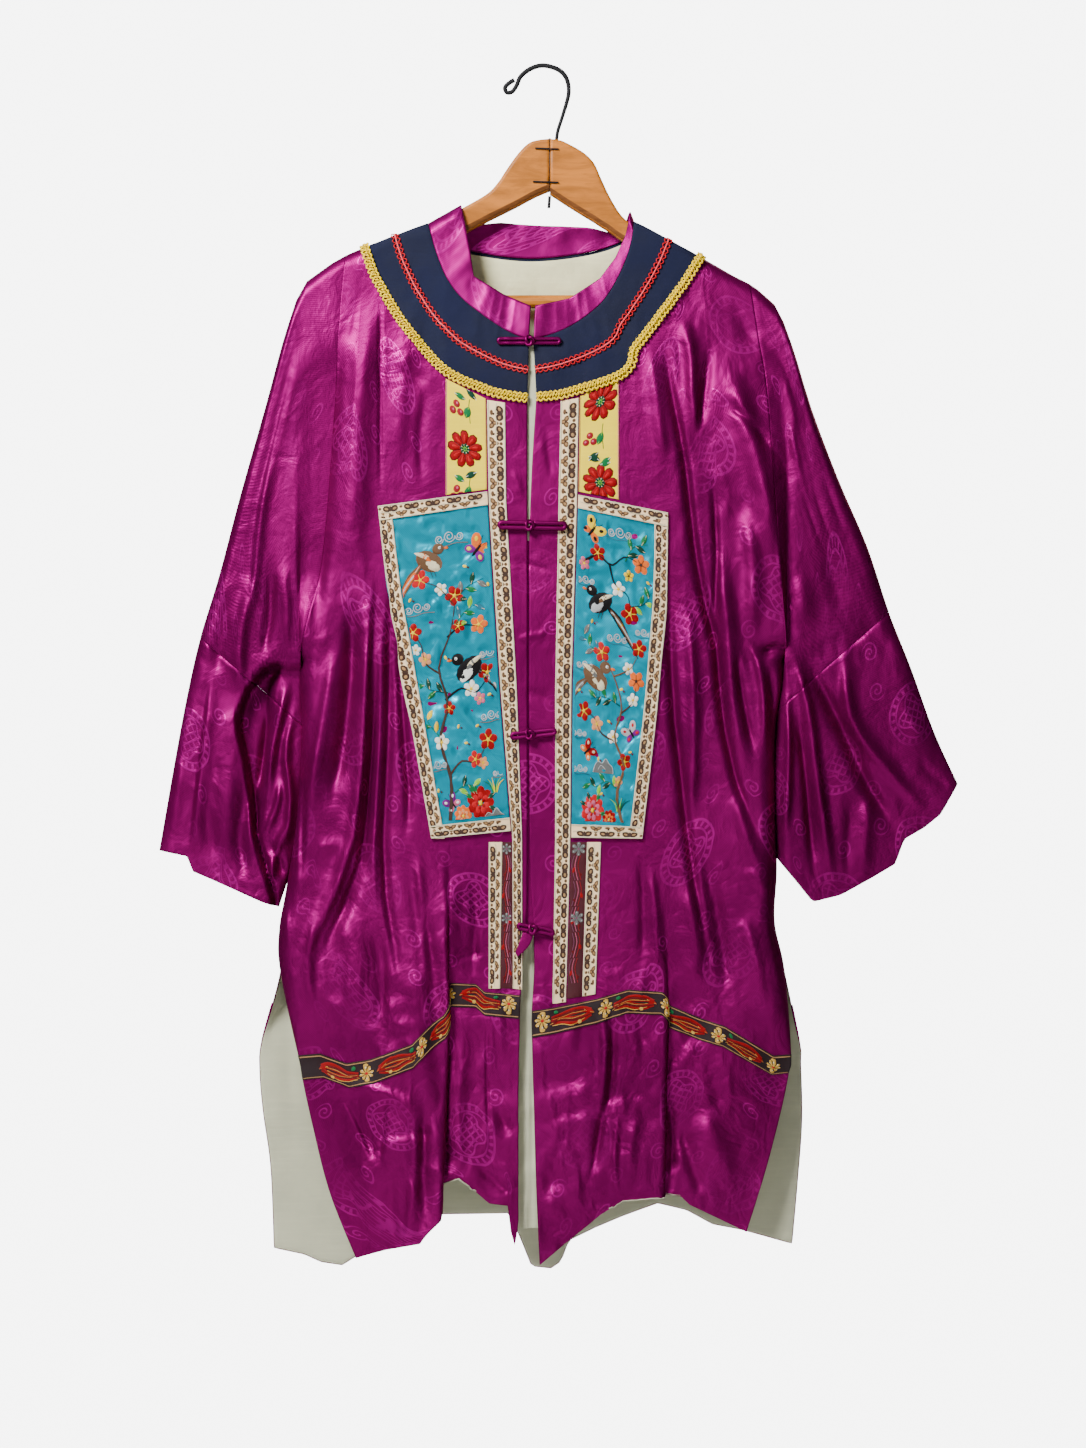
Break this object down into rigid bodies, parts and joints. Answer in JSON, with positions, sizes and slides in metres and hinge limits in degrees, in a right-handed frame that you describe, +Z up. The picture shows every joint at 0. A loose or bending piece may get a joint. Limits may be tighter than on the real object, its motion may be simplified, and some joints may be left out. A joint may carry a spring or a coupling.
{
  "type": "chinese embroidered jacket on a wooden hanger",
  "caption": "Long satin jacket with a navy yoke band, stand collar, embroidered panels and frog fastenings, hung on a wooden hanger with a wire hook.",
  "frame": {"origin": "the point inside the top of the hanger's wire hook where it rests on its support", "axes": "+X to the right in the picture, +Z up, and the front of the jacket faces -Y"},
  "size_m": [0.72, 0.0742, 1.0864],
  "materials": {
    "satin": "magenta figured satin",
    "navy": "navy plain cotton",
    "red": "red cord braid",
    "yellow": "yellow gimp braid",
    "flower": "woven yellow flower ribbon",
    "turquoise": "turquoise satin with embroidery",
    "cream": "cream woven tape",
    "brocade": "dark maroon brocade",
    "black_ribbon": "black brocade ribbon",
    "frog": "magenta knotted cord",
    "lining": "pale green cotton",
    "wood": "varnished",
    "wire": "black"
  },
  "bodies": {
    "root": {"front_left": "satin", "front_right": "satin", "back": "satin", "sleeve_left": "satin", "sleeve_right": "satin", "sleeve_left_end": "satin", "sleeve_right_end": "satin", "stand_collar": "satin", "yoke_band": "navy", "red_braid": "red", "yellow_braid": "yellow", "flower_ribbon_left": "flower", "flower_ribbon_right": "flower", "panel_left": "turquoise", "panel_right": "turquoise", "panel_border_left": "cream", "panel_border_right": "cream", "front_tape_left": "cream", "front_tape_right": "cream", "lower_tape_left": "cream", "lower_tape_right": "cream", "brocade_strip_left": "brocade", "brocade_strip_right": "brocade", "hem_band_left": "black_ribbon", "hem_band_right": "black_ribbon", "frog_1_knot": "frog", "frog_1_loop": "frog", "frog_2_knot": "frog", "frog_2_loop": "frog", "frog_3_knot": "frog", "frog_3_loop": "frog", "frog_4_knot": "frog", "frog_4_loop": "frog", "neck_lining": "lining", "skirt_lining": "lining", "hanger_arm_left": "wood", "hanger_arm_right": "wood", "trouser_bar": "wood", "hook": "wire", "hook_end": "wire", "staple_1": "wire", "staple_2": "wire"}
  },
  "joints": []
}
